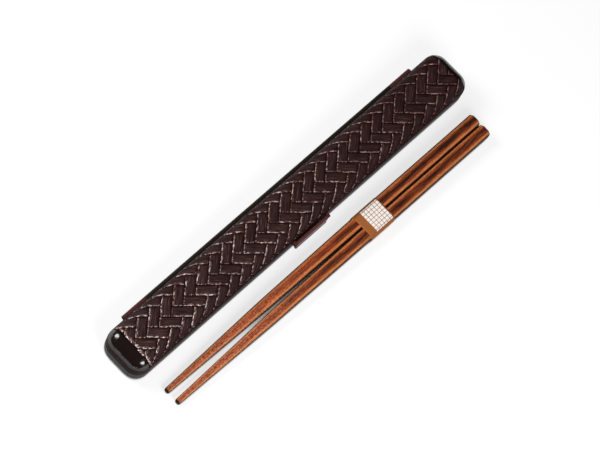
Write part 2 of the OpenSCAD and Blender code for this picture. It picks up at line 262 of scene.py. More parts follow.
# Woven skin of the lid, let into its arched top; lengths in mm
weave = {
    "start": -98.45, "end": 101.05,  # the skin's two ends along the case
    "cornerX": 98.5, "cornerY": 5.0,  # axis of the lid's rounded plan corners
    "crownHalf": 5.5,  # half of the flat crown
    "shoulderRadius": 6.0,
    "shoulderZ": 9.8,
    "wrap": 75.5,  # degrees the skin reaches down the shoulder
    "pitch": 7.3,  # spacing of the strips along the case
    "row": 6.35,  # spacing of the rows over the arch
    "shift": -4.2,  # shift of the pattern along the case
    "rows": (-3, 3), "counts": (-20, 22),  # rows over the arch and strips in a row that are tried
    "proud": 0.15,  # height of the strips over the lid's smooth ends
    "relief": 0.4,  # height of the strips over the skin
    "skin": 0.15,
    "groove": 0.34,  # width of the gap between strips
    "leastLength": 0.06, "leastWidth": 0.1,  # what the border leaves shorter or narrower, in strips, is left out
    "leastSide": 0.01,  # no line along a strip is shorter, in strips
    "edge": 0.85,  # width of a strip's rounded edge
    "borderShare": 0.6,  # distances to the border count that much, which rounds it more widely
    "tuck": 2.8,  # length over which a strip's end dives under its neighbour
    "tuckDepth": 0.5,  # share of the relief that an end loses
    "crown": 0.15,  # share of the relief that a strip's sides lose
    "sink": 0.05,  # how deep a strip's foot sits in the skin
    "ridge": 0.02,  # height of a lengthwise fibre ridge
    "ridges": (2, 3, 4), "ridgeSkew": 0.35,  # ridges on a strip, and how far they run aslant
    "meander": 0.07, "meanderWaves": 0.8,  # sideways wander of a strip, and its waves along the strip
    "ripple": 0.35,  # how much the width of a rounded edge varies along it
    "rippleWaves": ((1.7, 0.6), (3.6, 0.4)),  # waves along a strip, and their shares of the ripple
    "unevenness": 0.13,  # spread of the strips' heights and tilts, as a share of the relief
    "unevenLimit": 1.6,  # no strip departs by more spreads than that
    "ragged": 1.0,  # how far the strips' ends stop short of the skin's ends
    "nearEndLight": (-90.0, 100.0),  # run along the case over which painted light fades from the near end: further on the strips are darker and their painted highlights narrower and fewer
    "toneFarShade": 0.5,  # share of a strip's tone that follows that run, as painted shade towards the far end
    "leastRubAndHighlight": 0.5,  # rubbed wear and painted highlight of the least rubbed strip, where 1 is the most
    "rubHighlightFrom": 0.05,  # distance from a strip's edge at which its wear and painted highlight start to fade
    "rubHighlightWidth": (0.65, 0.45),  # share of the rounded edge that is rubbed and painted with a highlight, and what the near end's painted light adds
    "endRubAndHighlight": 0.7, "endRubHighlightWidth": 0.6,  # wear and painted highlight of the strips' ends against their long edges, and its share of the edge
    "borderHighlight": (0.2, 1.5),  # distances from the near border between which its painted highlight fades
    "grooveShade": (0.15, 1.5),  # distances from a strip's edge between which the painted shade of the grooves ends
    "paintedShade": 0.9, "shoulderShadeFrom": 8.5,  # how much painted shade darkens the shoulders, and from which arc length
    "patternSpread": 90.0,  # the grain of each strip is shifted by up to that
    "seed": 11,
}


def skinReach(w):
    # arc length from the middle of the crown to the skin's long border
    return w["crownHalf"] + math.radians(w["wrap"]) * w["shoulderRadius"]


def lidPoint(x, a, height):
    # point at arc length a over the lid's arch, lifted along the surface normal: flat crown, then a quarter round that
    # turns about the corner's axis past the straight run; there the sides draw in by sqrt(out^2 - dx^2) / out
    w, radius = weave, weave["shoulderRadius"]
    turn = np.clip(np.abs(a) - w["crownHalf"], 0, None) / radius
    across = np.where(turn > 0, w["crownHalf"] + radius * np.sin(turn), np.abs(a))
    flat = w["crownHalf"] - w["cornerY"]
    out = flat + radius * math.sin(math.radians(w["wrap"]))
    dx = np.clip(x - w["cornerX"], 0, None)
    dy = np.clip(across - w["cornerY"], 0, None) * np.sqrt(out ** 2 - dx ** 2) / out
    away = np.maximum(np.hypot(dx, dy), 1e-9)
    lean = np.clip(away - flat, 0, None) / radius
    rise = np.sqrt(1 - lean ** 2)
    y = np.sign(a) * (np.minimum(across, w["cornerY"]) + dy + height * lean * dy / away)
    return np.stack([x + height * lean * dx / away, y, w["shoulderZ"] + (radius + height) * rise], axis=-1)


def stripFaces(rows, columns):
    # one strip over a grid of rows by columns cells: its top, the wall round it, and an underside that spans from side
    # to side between two caps with many corners; below are the wall's lower points, in the order of the ring
    ring = gridRing(rows + 1, columns + 1)
    below = np.arange(len(ring)) + (rows + 1) * (columns + 1)
    wall = np.stack([np.roll(ring, -1), ring, below, np.roll(below, -1)], axis=1)
    right = below[columns:columns + rows + 1]
    left = np.concatenate([below[:1], below[:-rows - 1:-1]])
    under = np.stack([left[1:-2], left[2:-1], right[2:-1], right[1:-2]], axis=1)
    startCap = np.concatenate([below[:columns + 1], right[1:2], left[1:2]])
    stopCap = np.concatenate([below[columns + rows:2 * columns + rows + 1], left[-2:-1], right[-2:-1]])
    quads = np.concatenate([gridFaces(rows + 1, columns + 1), wall, under])
    return ring, quads, np.stack([startCap, stopCap])[:, ::-1]


def makeStrips(w, rows=16, columns=14, trials=201):
    # each strip shows over two crossings: x = x0 + pitch (p + q/2), a = a0 + s row (p - q/2), p along, q across
    reach = skinReach(w)
    tried = np.meshgrid(np.arange(*w["rows"]), np.arange(*w["counts"]), indexing="ij")
    row, count = (v.ravel() for v in tried)
    slant = np.where(row % 2 == 0, 1, -1)
    u0 = np.where(slant > 0, count - 0.5, count - 2 * row - 1.5)
    v0 = np.where(slant > 0, count + 2 * row - 0.5, count - 0.5)
    x0 = (u0 + v0) / 2 * w["pitch"] + w["shift"]
    a0 = (v0 - u0) / 2 * w["row"] + w["row"] / 4
    length = math.hypot(w["pitch"], w["row"])
    width = w["pitch"] * w["row"] / length
    gapP, gapQ = w["groove"] / 2 / length, w["groove"] / 2 / width
    random = np.random.default_rng(w["seed"])
    short = random.uniform(0, w["ragged"], len(row))
    lowX, highX = w["start"] + short, w["end"] - short

    def span(q):
        # part of p that lies on the skin: the skin's four borders are straight lines in p and q
        low = np.maximum((lowX - x0)[:, None] / w["pitch"] - q / 2,
                         (-reach - (slant * a0)[:, None]) / w["row"] + q / 2)
        high = np.minimum((highX - x0)[:, None] / w["pitch"] - q / 2,
                          (reach - (slant * a0)[:, None]) / w["row"] + q / 2)
        return np.maximum(low, gapP), np.minimum(high, 1 - gapP)

    trial = np.repeat(np.linspace(gapQ, 1 - gapQ, trials)[None, :], len(row), axis=0)
    low, high = span(trial)
    there = high - low > w["leastLength"]
    firstQ, lastQ = np.where(there, trial, np.inf).min(axis=1), np.where(there, trial, -np.inf).max(axis=1)
    keep = lastQ - firstQ > w["leastWidth"]
    slant, x0, a0, lowX, highX, firstQ, lastQ = (v[keep] for v in (slant, x0, a0, lowX, highX, firstQ, lastQ))
    total = len(slant)

    bunched = lambda n: 0.5 - 0.5 * np.cos(np.linspace(0, math.pi, n + 1))  # closer points near the edges
    each = lambda values: values[:, None, None]
    wave = lambda turns: np.sin(2 * math.pi * turns)
    anyTurn = lambda: each(random.uniform(0, 1, total))
    q = firstQ[:, None] + (lastQ - firstQ)[:, None] * bunched(columns)
    low, high = span(q)
    p = low[:, None, :] + np.maximum(high - low, w["leastSide"])[:, None, :] * bunched(rows)[None, :, None]
    q = np.repeat(q[:, None, :], rows + 1, axis=1)
    wander = w["meander"] * wave(p * w["meanderWaves"] + anyTurn())
    x = each(x0) + w["pitch"] * (p + q / 2) + wander * w["row"] / length
    a = each(a0) + each(slant) * (w["row"] * (p - q / 2) - wander * w["pitch"] / length)
    x, a = np.clip(x, each(lowX), each(highX)), np.clip(a, -reach, reach)

    # height: rounded edges, ends that dive under the crossing strips, a slight crown, fibre ridges
    sideMm = np.minimum(q - gapQ, 1 - gapQ - q) * width
    endMm = np.minimum(p - gapP, 1 - gapP - p) * length
    stopMm = np.minimum(x - each(lowX), each(highX) - x)
    borderMm = np.minimum(stopMm, reach - np.abs(a)) * w["borderShare"]
    edge = w["edge"] * (1 + w["ripple"] * sum(wave(n * p + anyTurn()) * share for n, share in w["rippleWaves"]))
    end = 1 - w["tuckDepth"] * (1 - ease(endMm, 0, w["tuck"]))
    crown = 1 - w["crown"] * (2 * q - 1) ** 2
    limit = w["unevenLimit"]
    spread = lambda: each(w["unevenness"] * random.standard_normal(total).clip(-limit, limit))
    uneven = 1 - w["unevenness"] + spread() + spread() * (2 * q - 1) + spread() * (2 * p - 1)
    skew = lambda: w["ridgeSkew"] * p * each(random.uniform(-1, 1, total))
    ridges = sum(w["ridge"] * np.cos(2 * math.pi * (k * q + skew() + anyTurn())) for k in w["ridges"])
    height = w["relief"] * end * crown * uneven + ridges
    for distance in (sideMm, endMm, borderMm):
        height = height * quarterRound(distance, edge)
    foot = w["proud"] - w["relief"] - w["sink"]
    ring, *faces = stripFaces(rows, columns)
    top = lidPoint(x, a, foot + height).reshape(total, -1, 3)
    base = lidPoint(x, a, foot - w["sink"]).reshape(total, -1, 3)[:, ring]
    points = np.concatenate([top, base], axis=1)
    sets = []
    for one in faces:
        many = one[None] + each(np.arange(total) * points.shape[1])
        many[slant < 0] = many[slant < 0][:, :, ::-1]
        sets.append(many.reshape(-1, one.shape[1]))

    # wear and painted highlight: the long edge that faces -X, which faces the light, takes most of both, and the
    # strips' ends some; the skin's near end gets a painted highlight
    shift = random.uniform(0, w["patternSpread"], (total, 2))
    place = np.stack([p * length + each(shift[:, 0]), q * width + each(shift[:, 1])], axis=-1)
    # painted light along the case: lighter strips and more painted highlight at the near end
    nearEndLight = 1 - ease(x, *w["nearEndLight"])
    tone = (1 - w["toneFarShade"]) * anyTurn() + w["toneFarShade"] * (1 - nearEndLight)
    rubAndHighlightLevel = lambda: each(random.uniform(w["leastRubAndHighlight"], 1, total))
    least, more = w["rubHighlightWidth"]
    longRubAndHighlight = rubAndHighlightLevel() * (1 - ease((q - gapQ) * width, w["rubHighlightFrom"], edge * (least + more * nearEndLight)))
    endRubAndHighlight = rubAndHighlightLevel() * (1 - ease((p - gapP) * length, w["rubHighlightFrom"], edge * w["endRubHighlightWidth"]))
    # painted highlight along the skin's near border
    borderHighlight = 1 - ease(x - each(lowX), *w["borderHighlight"])
    rubAndHighlight = np.maximum(np.maximum(longRubAndHighlight, w["endRubAndHighlight"] * endRubAndHighlight), borderHighlight)
    # painted shade: darker in the grooves between strips and down both shoulders
    paintedShade = w["paintedShade"] * ease(np.abs(a), w["shoulderShadeFrom"], reach)
    grooveAndShoulderShade = 1 - ease(np.minimum(sideMm, endMm), *w["grooveShade"]) * (1 - paintedShade)

    def whole(v):
        # the values of the top's points, and once more for the wall's lower points
        v = v.reshape(total, (rows + 1) * (columns + 1), -1)
        return np.concatenate([v, v[:, ring]], axis=1)

    return makeMesh("weaveStrips", points.reshape(-1, 3), *sets, uv=whole(place).reshape(-1, 2),
                    attributes={"tone": whole(tone), "rubAndHighlight": whole(rubAndHighlight), "grooveAndShoulderShade": whole(grooveAndShoulderShade), "nearEndLight": whole(nearEndLight)})


def makeSkin(w, across=72, along=40, overEnd=9):
    # closed profile over the arch, outer side and back along the inner side, carried along X and over the far end
    reach = skinReach(w)
    stations = np.concatenate([np.linspace(w["start"], w["cornerX"], along),
                               np.linspace(w["cornerX"], w["end"], overEnd)[1:]])
    x, a = np.meshgrid(stations, np.linspace(-reach, reach, across), indexing="ij")
    top = w["proud"] - w["relief"]
    points = np.concatenate([lidPoint(x, a, top), lidPoint(x, a, top - w["skin"])[:, ::-1]], axis=1)
    return makeMesh("weaveSkin", points.reshape(-1, 3), *tubeFaces(len(stations), 2 * across))


# ABS moulded against a tool cut from woven strips: satin faces with lengthwise grain; edges rubbed pale in places and
# painted with highlights and white glints; pale painted highlight streaks; painted shade in the grooves, on the
# shoulders and towards the far end
woven = {
    "name": "absMouldedWovenGrain",
    "fibre": (0.14, 1.9, 1.0),  # grain per mm along and across a strip: fibres about 0.5 mm wide
    "stroke": (0.5, 1.2, 1.0),  # worn spots per mm, 1 to 2 mm long
    "between": "#120707", "fibres": "#4f3938",  # colours of the face, between the fibres and on them
    "darkToneAndShade": "#1c0e0d", "darkToneAndShadeShare": 0.6,  # the darker strips go that far towards this colour: a random tone, with painted shade towards the far end
    "paintedShadeTint": "#260b0c", "paintedShadeTintShare": 0.6,  # painted shade in the grooves and on the shoulders
    "streak": "#7d5d5b", "paintedStreakShare": 0.75,  # pale painted highlight streaks on the fibres
    "rubAndHighlightTint": "#8c5653", "bare": "#f6eeea",  # rubbed edges worn thin, with a painted highlight, and painted white glints
    "glintShare": 0.3, "glintNearEnd": 0.75,  # how far the painted white glints show anywhere, and what the near end's painted light adds
    "levels": {  # of the noise, between which each comes in
        "fibres": (0.3, 0.7), "streak": (0.6, 0.74), "rubAndHighlightTint": (0.38, 0.56), "bare": (0.5, 0.58), "gloss": (0.3, 0.7),
    },
    "roughness": (0.3, 0.5),
    "grainHeight": 0.3, "grainStrength": 0.8,  # mm, and share of it
    "specular": 0.03, "ior": 1.52,
}


def wovenPlastic(v):
    material, tree, shader = newMaterial(v["name"])
    place = add(tree, "ShaderNodeUVMap", uv_map="surface").outputs["UV"]
    tone, rubAndHighlight, grooveAndShoulderShade, nearEndLight = (add(tree, "ShaderNodeAttribute", attribute_name=key).outputs["Fac"]
                                for key in ("tone", "rubAndHighlight", "grooveAndShoulderShade", "nearEndLight"))
    fibre = add(tree, "ShaderNodeMapping", {"Vector": place, "Scale": v["fibre"]})
    grain = add(tree, "ShaderNodeTexNoise", {"Vector": fibre.outputs["Vector"], "Scale": 1.0, "Detail": 5.0,
                                             "Roughness": 0.65}).outputs["Fac"]
    stroke = add(tree, "ShaderNodeMapping", {"Vector": place, "Scale": v["stroke"]})
    blotch = add(tree, "ShaderNodeTexNoise", {"Vector": stroke.outputs["Vector"], "Scale": 1.2, "Detail": 4.0,
                                              "Roughness": 0.65}).outputs["Fac"]
    shown = {}
    # the streak mask gives pale painted highlight streaks along the fibres
    for key, noise, most in (("fibres", grain, 1.0), ("streak", grain, v["paintedStreakShare"]), ("rubAndHighlightTint", blotch, 1.0),
                             ("bare", blotch, 1.0)):
        low, high = v["levels"][key]
        shown[key] = add(tree, "ShaderNodeMapRange", {"Value": noise, "From Min": low, "From Max": high,
                                                      "To Max": most}).outputs["Result"]
    # darker strips: a random tone, with painted shade towards the far end
    darkToneAndShade = add(tree, "ShaderNodeMath", {0: tone, 1: v["darkToneAndShadeShare"]}, operation="MULTIPLY")
    # painted shade in the grooves and down the shoulders
    paintedShade = add(tree, "ShaderNodeMath", {0: grooveAndShoulderShade, 1: v["paintedShadeTintShare"]}, operation="MULTIPLY")
    # rubbed edges: wear with a painted highlight, turning to painted white glints in spots
    rubAndHighlightLevel = add(tree, "ShaderNodeMath", {0: rubAndHighlight, 1: shown["rubAndHighlightTint"]}, operation="MULTIPLY")
    share = add(tree, "ShaderNodeMath", {0: nearEndLight, 1: v["glintNearEnd"], 2: v["glintShare"]}, operation="MULTIPLY_ADD")
    paintedGlint = add(tree, "ShaderNodeMath", {0: shown["bare"], 1: share.outputs["Value"]}, operation="MULTIPLY")
    rubbedAndHighlighted = add(tree, "ShaderNodeMix", {"Factor": paintedGlint.outputs["Value"], "A": linear(v["rubAndHighlightTint"]),
                                         "B": linear(v["bare"])}, data_type="RGBA")
    shade = linear(v["between"])
    for mask, colour in ((shown["fibres"], linear(v["fibres"])), (darkToneAndShade.outputs["Value"], linear(v["darkToneAndShade"])),
                         (paintedShade.outputs["Value"], linear(v["paintedShadeTint"])), (shown["streak"], linear(v["streak"])),
                         (rubAndHighlightLevel.outputs["Value"], rubbedAndHighlighted.outputs["Result"])):
        shade = add(tree, "ShaderNodeMix", {"Factor": mask, "A": shade, "B": colour},
                    data_type="RGBA").outputs["Result"]
    (low, high), (least, most) = v["levels"]["gloss"], v["roughness"]
    gloss = add(tree, "ShaderNodeMapRange", {"Value": blotch, "From Min": low, "From Max": high, "To Min": least,
                                             "To Max": most})
    relief = add(tree, "ShaderNodeBump", {"Height": grain, "Strength": v["grainStrength"],
                                          "Distance": v["grainHeight"] * mm})
    tree.links.new(shade, shader.inputs["Base Color"])
    tree.links.new(gloss.outputs["Result"], shader.inputs["Roughness"])
    tree.links.new(relief.outputs["Normal"], shader.inputs["Normal"])
    shader.inputs["IOR"].default_value = v["ior"]
    shader.inputs["Specular IOR Level"].default_value = v["specular"]
    return material


strips = makeStrips(weave)
finishPiece(strips, "lid", "weave_plastic", wovenPlastic(woven), "weave_panel")
skin = makeSkin(weave)
finishPiece(skin, "lid", "weave_plastic", groovePlastic, "weave_panel")
print("woven skin:", len(strips.data.polygons), "faces on", len(skin.data.polygons))

# The pair of sticks; lengths in mm
pair = {
    "buttX": 98.0, "front": 26.6, "angle": -0.3,  # where the pair's butts lie, as in the solids
    "length": 195.0,
    "stations": [(0.0, 6.4), (75.0, 6.3), (138.0, 5.3), (194.1, 2.6), (195.0, 2.56)],  # distance from the butt, width
    "cut": 0.22,  # corner cut as a share of the width
    "soften": 0.35,  # share of a facet that its rounded edges take
    "buttRound": 1.3, "tipRound": 0.9,
    "floor": 0.3,  # height of the sticks' undersides, on the paper
    "side": 3.275,  # distance of a stick's middle from the pair's middle
    "taperBlend": 6.0,  # the width is averaged over that distance to both sides
    "tipDark": 1.1, "tipFull": 0.5,  # length of the dipped dark tip, and of its darkest part
    "bare": (90.0, 180.0),  # distances from the butt between which the lacquer wears thin
    "flankShadeBlend": 0.2,  # the scorch and painted shade of the side faces start at their borders over that, in half widths
    "rubbedAndHighlighted": (0.42, 0.62),  # the cut corners are rubbed paler, with a painted highlight, between these products of the two half widths
    "sawn": (0.66, 0.86),  # the end faces show end grain up to these shares of the full width
    "drift": 0.05, "driftLength": 23.0,  # sideways wander of the streaks, in half widths and in mm
    "girth": 22.0,  # unrolled width of the pattern round a stick
    "patternStep": 37.0,  # the second stick's pattern starts that much further on
    "streaks": [  # dark streak on the faces of each stick, across in half widths, along in mm
        {"width": 0.8, "shift": 0.0, "strength": 1.0, "fadeFrom": 45, "fadeTo": 150, "rest": 0.36},
        {"width": 0.95, "shift": 0.04, "strength": 0.85, "fadeFrom": 85, "fadeTo": 170, "rest": 0.5},
    ],
}


def besidePair(x, y, z):
    # pair frame (x back along the sticks from the butts, y across) into the shared frame
    turn = math.radians(pair["angle"])
    return np.stack([pair["buttX"] + math.cos(turn) * x - math.sin(turn) * y,
                     -pair["front"] + math.sin(turn) * x + math.cos(turn) * y, z], axis=-1)


def stickSection(perEdge=7, perCorner=5):
    # unit section, half width 1: an octagon with long flats, each corner rounded by a quadratic blend
    flat = 1 - 2 * pair["cut"]
    corners = np.array([(1, -flat), (1, flat), (flat, 1), (-flat, 1), (-1, flat), (-1, -flat), (-flat, -1),
                        (flat, -1)])
    ahead, behind = np.roll(corners, -1, axis=0), np.roll(corners, 1, axis=0)
    share = pair["soften"] / 2
    enter, leave = corners + (behind - corners) * share, corners + (ahead - corners) * share
    s = np.linspace(0, 1, perEdge + 2)[1:-1][None, :, None]
    edge = leave[:, None] * (1 - s) + np.roll(enter, -1, axis=0)[:, None] * s
    return np.concatenate([cornerBlend(enter, corners, leave, perCorner), edge], axis=1).reshape(-1, 2)


def makeStick(name, middle, streak, seed, rings=150, endRings=10, samples=13):
    # the section scaled along the stick, whose width runs through the stations; rounded ends follow a quarter ellipse
    turn = 1 - np.cos(np.linspace(0, math.pi / 2, endRings))
    long, buttRound, tipRound = pair["length"], pair["buttRound"], pair["tipRound"]
    d = np.concatenate([buttRound * turn, np.linspace(buttRound, long - tipRound, rings), long - tipRound * turn])
    d = np.unique(np.round(d, 6))[:, None]
    where, widths = np.array(pair["stations"]).T
    steps = np.linspace(-pair["taperBlend"], pair["taperBlend"], samples)
    wide = np.mean([np.interp(d + step, where, widths) for step in steps], axis=0)
    inset = lambda gap, size: size * (1 - quarterRound(gap, size))
    half = wide / 2 - inset(d, buttRound) - inset(long - d, tipRound)
    section = stickSection()
    u, v = section.T[:, None, :]
    shape = (len(d), len(section))
    x = np.broadcast_to(-d, shape)
    points = besidePair(x, middle + half * u, pair["floor"] + wide / 2 + half * v)

    # scorch: along the middle of each face, wandering a little, fading towards the tip; the two side faces are dark
    # with scorch and painted shade; the cut corners are rubbed paler, with a painted highlight
    across = np.where(np.abs(u) > np.abs(v), v * np.sign(u), u * np.sign(v))
    drift = streak["shift"] + pair["drift"] * np.sin(d / pair["driftLength"] + seed)
    burn = 1 - ease(np.abs(across - drift), 0, streak["width"])
    fade = 1 - ease(d, streak["fadeFrom"], streak["fadeTo"])
    flankScorchAndShade = ease(np.abs(u) - np.abs(v), 0.0, pair["flankShadeBlend"])
    attributes = {
        "scorchAndSideShade": streak["strength"] * burn * (streak["rest"] + (1 - streak["rest"]) * fade) * (1 - flankScorchAndShade) + flankScorchAndShade,
        # paler cut corners: wear with a painted highlight
        "edge": ease(np.abs(u * v), *pair["rubbedAndHighlighted"]) * (1 - flankScorchAndShade),
        "tipDark": ease(d, long - pair["tipDark"], long - pair["tipFull"]),
        "sawn": 1 - ease(half / (wide / 2), *pair["sawn"]),
        "bare": ease(d, *pair["bare"]),
    }
    attributes = {key: np.broadcast_to(value, shape) for key, value in attributes.items()}
    around = np.broadcast_to(np.linspace(0, pair["girth"], len(section), endpoint=False), shape)
    uv = np.stack([x + seed * pair["patternStep"], around], axis=-1).reshape(-1, 2)
    sides, caps = tubeFaces(*shape)
    made = makeMesh(name, points.reshape(-1, 3), sides, caps, uv=uv, attributes=attributes)
    smooth = np.arange(len(sides) + len(caps)) < len(sides)  # all but the end faces
    made.data.polygons.foreach_set("use_smooth", smooth)
    return made


# Hardwood, planed square, scorched along its faces and lacquered: dark streaks between orange-brown edges; painted
# shade on the side faces and a painted highlight on the cut corners
hardwood = {
    "name": "hardwoodScorchedLacquered",
    "grain": (0.09, 2.0, 1.0),  # grain per mm along and round a stick: lines about 0.5 mm wide
    "pore": (0.8, 3.0, 1.0),  # flecks per mm
    "late": ("#6a2a15", 0.32), "early": ("#d9632f", 0.7),  # colours of the grain, and the noise levels they lie at
    "edge": "#f4a662",  # rubbed corners, with a painted highlight
    # scorch, and painted shade on the side faces
    "scorched": "#2a130c",
    "scorchRagged": 1.6,  # how far the grain breaks up the scorch's edge
    "fleck": "#5c2d19", "fleckShare": 0.6,
    "dry": "#d9a387", "dryShare": 0.55,  # pale flecks where the lacquer is worn
    "sawn": ("#2e150c", "#8a4722"), "sawnPores": 0.5,  # end grain, and the size of its pores in mm
    "tip": "#140d0a",
    "levels": {"scorched": (0.1, 0.92), "fleck": (0.52, 0.63), "dry": (0.5, 0.36)},  # of the scorch and of the noise
    "grainHeight": 0.12, "grainStrength": 0.35,  # mm, and share of it
    "roughness": 0.5, "specular": 0.18, "ior": 1.5,
}


def scorchedWood(h):
    material, tree, shader = newMaterial(h["name"])
    place = add(tree, "ShaderNodeUVMap", uv_map="surface").outputs["UV"]
    edge, scorchAndSideShade, bare, sawn, tip = (add(tree, "ShaderNodeAttribute", attribute_name=key).outputs["Fac"]
                                     for key in ("edge", "scorchAndSideShade", "bare", "sawn", "tipDark"))
    fibre = add(tree, "ShaderNodeMapping", {"Vector": place, "Scale": h["grain"]})
    grain = add(tree, "ShaderNodeTexNoise", {"Vector": fibre.outputs["Vector"], "Scale": 1.0, "Detail": 6.0,
                                             "Roughness": 0.7}).outputs["Fac"]
    pore = add(tree, "ShaderNodeMapping", {"Vector": place, "Scale": h["pore"]})
    fleck = add(tree, "ShaderNodeTexNoise", {"Vector": pore.outputs["Vector"], "Scale": 1.0,
                                             "Detail": 3.0}).outputs["Fac"]
    wood = add(tree, "ShaderNodeValToRGB", {"Fac": grain})
    for stop, (colour, position) in zip(wood.color_ramp.elements, (h["late"], h["early"])):
        stop.position, stop.color = position, linear(colour)
    paleEdgeAndHighlight = add(tree, "ShaderNodeMath", {0: edge, 1: grain}, operation="MULTIPLY")
    ragged = add(tree, "ShaderNodeMath", {0: grain, 1: h["scorchRagged"], 2: -h["scorchRagged"] / 2},
                 operation="MULTIPLY_ADD")
    burntAndShaded = add(tree, "ShaderNodeMath", {0: scorchAndSideShade, 1: ragged.outputs["Value"]}, operation="SUBTRACT")
    shown = {}
    for key, value, most in (("scorched", burntAndShaded.outputs["Value"], 1.0), ("fleck", fleck, h["fleckShare"]),
                             ("dry", fleck, h["dryShare"])):
        low, high = h["levels"][key]
        shown[key] = add(tree, "ShaderNodeMapRange", {"Value": value, "From Min": low, "From Max": high,
                                                      "To Max": most}).outputs["Result"]
    paleness = add(tree, "ShaderNodeMath", {0: shown["dry"], 1: bare}, operation="MULTIPLY")
    solid = add(tree, "ShaderNodeTexCoord").outputs["Object"]
    pores = add(tree, "ShaderNodeTexNoise", {"Vector": solid, "Scale": 1 / (h["sawnPores"] * mm), "Detail": 3.0})
    darker, lighter = (linear(colour) for colour in h["sawn"])
    endGrain = add(tree, "ShaderNodeMix", {"Factor": pores.outputs["Fac"], "A": darker, "B": lighter},
                   data_type="RGBA")
    shade = wood.outputs["Color"]
    for mask, colour in ((paleEdgeAndHighlight.outputs["Value"], linear(h["edge"])), (shown["scorched"], linear(h["scorched"])),
                         (shown["fleck"], linear(h["fleck"])), (paleness.outputs["Value"], linear(h["dry"])),
                         (sawn, endGrain.outputs["Result"]), (tip, linear(h["tip"]))):
        shade = add(tree, "ShaderNodeMix", {"Factor": mask, "A": shade, "B": colour},
                    data_type="RGBA").outputs["Result"]
    level = add(tree, "ShaderNodeMix", {"Factor": sawn, "A": grain, "B": 0.5})  # no lengthwise lines on the end faces
    lines = add(tree, "ShaderNodeBump", {"Height": level.outputs["Result"], "Strength": h["grainStrength"],
                                         "Distance": h["grainHeight"] * mm})
    tree.links.new(shade, shader.inputs["Base Color"])
    tree.links.new(lines.outputs["Normal"], shader.inputs["Normal"])
    shader.inputs["Roughness"].default_value = h["roughness"]
    shader.inputs["IOR"].default_value = h["ior"]
    shader.inputs["Specular IOR Level"].default_value = h["specular"]
    return material


stickWood = scorchedWood(hardwood)
for name, body, side, streak, seed in (("chopstickA", "chopstick_a", 1, pair["streaks"][0], 1),
                                       ("chopstickB", "chopstick_b", -1, pair["streaks"][1], 2)):
    piece = makeStick(name, side * pair["side"], streak, seed)
    finishPiece(piece, body, "stick_wood", stickWood, body)
print("sticks made")

# Paper band, one strip wound round the pair and glued where it laps; lengths in mm
band = {
    "fromButt": 71.0, "width": 15.0,
    "paper": 0.12,  # thickness
    "slack": 0.05,  # between the paper and the sticks
    "fold": 0.5,  # length of paper that a fold takes on each side
    "lap": 6.0,  # length of the glued lap, underneath
    "lapGap": 0.01, "climb": (-0.6, 0.2),  # gap under the lap, and where it climbs over the start, from one full turn
    "dip": 0.05, "dipWidth": 1.3,  # the paper dips into the gap between the sticks
    "panelFromEdge": 0.5, "panelLength": 10.6, "panelWidth": 11.4,  # pale printed panel on top
    "cellLength": 1.76, "cellWidth": 1.62, "line": 0.13,  # its plain lattice
    "raggedPrint": 0.3,  # how far the fibres break up the panel's edge
    "kraft": ("#84451a", "#ad6629"), "print": "#f1ece6",
    "fibre": 2.2,  # fibres per mm, about 0.5 mm each
    "toothHeight": 0.05, "toothStrength": 0.3,  # mm, and share of it
    "roughness": 0.85,
}


def makeBand(b, around=240, alongCount=17, foldPoints=12):
    # path: the hull of the two sticks, an octagon with blended folds, from under the pair once round and on over
    # the lap; the strip is that path between an inner and an outer offset, carried along the sticks
    wide = float(np.interp(b["fromButt"] - b["width"] / 2, *np.array(pair["stations"]).T))
    half = wide / 2 + b["slack"]
    flat = half * (1 - 2 * pair["cut"])
    long, short = pair["side"] + half, pair["side"] + flat
    corners = np.array([(short, -half), (long, -flat), (long, flat), (short, half), (-short, half), (-long, flat),
                        (-long, -flat), (-short, -half)])
    ahead, behind = np.roll(corners, -1, axis=0) - corners, np.roll(corners, 1, axis=0) - corners
    unit = lambda v: v / np.linalg.norm(v, axis=1, keepdims=True)
    enter, leave = corners + unit(behind) * b["fold"], corners + unit(ahead) * b["fold"]
    start = [(0.0, -half)]
    bend = np.concatenate([start, cornerBlend(enter, corners, leave, foldPoints).reshape(-1, 2), start])
    run = np.concatenate([[0], np.cumsum(np.linalg.norm(np.diff(bend, axis=0), axis=1))])
    turn = run[-1]
    s = np.linspace(0, turn + b["lap"], around)
    y, z = (np.interp(s % turn, run, bend[:, k]) for k in (0, 1))
    step = unit(np.stack([np.gradient(y), np.gradient(z)], axis=1))
    outY, outZ = step[:, 1], -step[:, 0]
    climbFrom, climbTo = b["climb"]
    over = (b["paper"] + b["lapGap"]) * ease(s, turn + climbFrom, turn + climbTo)
    dip = b["dip"] * np.exp(-(y / b["dipWidth"]) ** 2) * np.sign(z)
    middleZ = pair["floor"] + wide / 2
    along = -b["fromButt"] + np.linspace(-b["width"] / 2, b["width"] / 2, alongCount)
    x, s = np.meshgrid(along, s - turn / 2, indexing="ij")
    layers = [besidePair(x, np.broadcast_to(y + outY * (over + d), x.shape),
                         np.broadcast_to(middleZ + z - dip + outZ * (over + d), x.shape))
              for d in (b["paper"], 0.0)]
    outer, ring = gridFaces(alongCount, around), gridRing(alongCount, around)
    after = np.roll(ring, -1)
    below = alongCount * around
    rim = np.stack([ring + below, after + below, after, ring], axis=1)
    uv = np.stack([x, s], axis=-1).reshape(-1, 2)
    return makeMesh("paperBand", np.concatenate(layers).reshape(-1, 3), outer, outer[:, ::-1] + below, rim,
                    uv=np.tile(uv, (2, 1)))


